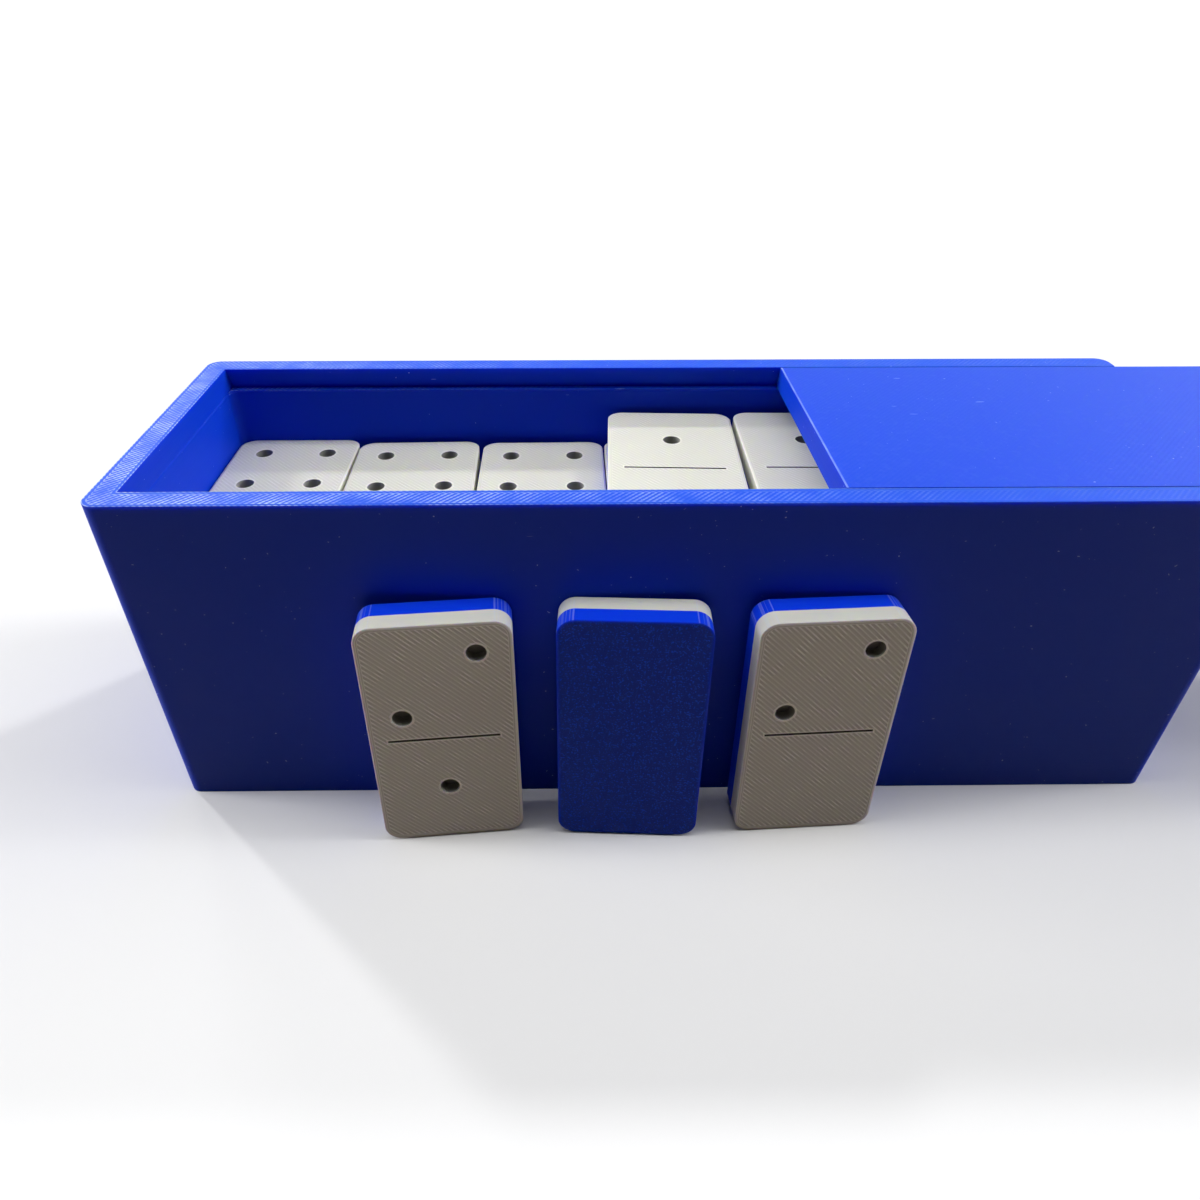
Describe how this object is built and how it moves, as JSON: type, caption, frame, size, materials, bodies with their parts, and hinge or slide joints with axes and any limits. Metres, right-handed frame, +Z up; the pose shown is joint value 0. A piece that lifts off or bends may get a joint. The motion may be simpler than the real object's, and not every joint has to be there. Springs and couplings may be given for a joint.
{
  "type": "domino storage box",
  "caption": "Long box with a sliding dovetail lid, filled with piles of two-colour dominoes, three of which lean on its front.",
  "frame": {"origin": "middle of the box's flat underside, on the surface that it stands on", "axes": "+X along the box, the way the lid opens; +Y from the front, where tiles lean, to the back; +Z up"},
  "size_m": [0.3106, 0.0723, 0.0671],
  "materials": {
    "blue_print": "satin printed plastic with fine layer lines",
    "tile_print": "printed plastic, pale grey face on a blue back"
  },
  "bodies": {
    "box": {"box": "blue_print", "domino_9_9": "tile_print", "domino_9_8": "tile_print", "domino_9_7": "tile_print", "domino_9_6": "tile_print", "domino_9_5": "tile_print", "domino_9_4": "tile_print", "domino_9_3": "tile_print", "domino_9_2": "tile_print", "domino_9_1": "tile_print", "domino_9_0": "tile_print", "domino_8_8": "tile_print", "domino_8_7": "tile_print", "domino_8_6": "tile_print", "domino_8_5": "tile_print", "domino_8_4": "tile_print", "domino_8_3": "tile_print", "domino_8_2": "tile_print", "domino_8_1": "tile_print", "domino_8_0": "tile_print", "domino_7_7": "tile_print", "domino_7_6": "tile_print", "domino_7_5": "tile_print", "domino_7_4": "tile_print", "domino_7_3": "tile_print", "domino_7_2": "tile_print", "domino_7_1": "tile_print", "domino_7_0": "tile_print", "domino_6_6": "tile_print", "domino_6_5": "tile_print", "domino_6_4": "tile_print", "domino_6_3": "tile_print", "domino_6_2": "tile_print", "domino_6_1": "tile_print", "domino_6_0": "tile_print", "domino_5_5": "tile_print", "domino_5_4": "tile_print", "domino_5_3": "tile_print", "domino_5_2": "tile_print", "domino_5_1": "tile_print", "domino_5_0": "tile_print", "domino_4_4": "tile_print", "domino_4_3": "tile_print", "domino_4_0": "tile_print", "domino_3_3": "tile_print", "domino_3_2": "tile_print", "domino_3_1": "tile_print", "domino_3_0": "tile_print", "domino_1_0": "tile_print", "domino_0_0": "tile_print"},
    "lid": {"lid": "blue_print"},
    "tile_column_1": {"domino_4_2": "tile_print"},
    "tile_column_2": {"domino_4_1": "tile_print"},
    "tile_column_4": {"domino_1_1": "tile_print"},
    "tile_leaning_left": {"domino_2_1": "tile_print"},
    "tile_leaning_middle": {"domino_2_2": "tile_print"},
    "tile_leaning_right": {"domino_2_0": "tile_print"}
  },
  "joints": [
    {"name": "lid_slide", "type": "slide", "parent": "box", "child": "lid", "axis": [1, 0, 0], "range_m": [-0.1172, 0.078]},
    {"name": "lift_column_1", "type": "slide", "parent": "box", "child": "tile_column_1", "axis": [0, 0, 1], "range_m": [0, 0.03]},
    {"name": "lift_column_2", "type": "slide", "parent": "box", "child": "tile_column_2", "axis": [0, 0, 1], "range_m": [0, 0.03]},
    {"name": "lift_column_4", "type": "slide", "parent": "box", "child": "tile_column_4", "axis": [0, 0, 1], "range_m": [0, 0.03]},
    {"name": "pick_up_leaning_left", "type": "slide", "parent": "box", "child": "tile_leaning_left", "axis": [0, 0, 1], "range_m": [0, 0.03]},
    {"name": "pick_up_leaning_middle", "type": "slide", "parent": "box", "child": "tile_leaning_middle", "axis": [0, 0, 1], "range_m": [0, 0.03]},
    {"name": "pick_up_leaning_right", "type": "slide", "parent": "box", "child": "tile_leaning_right", "axis": [0, 0, 1], "range_m": [0, 0.03]}
  ]
}
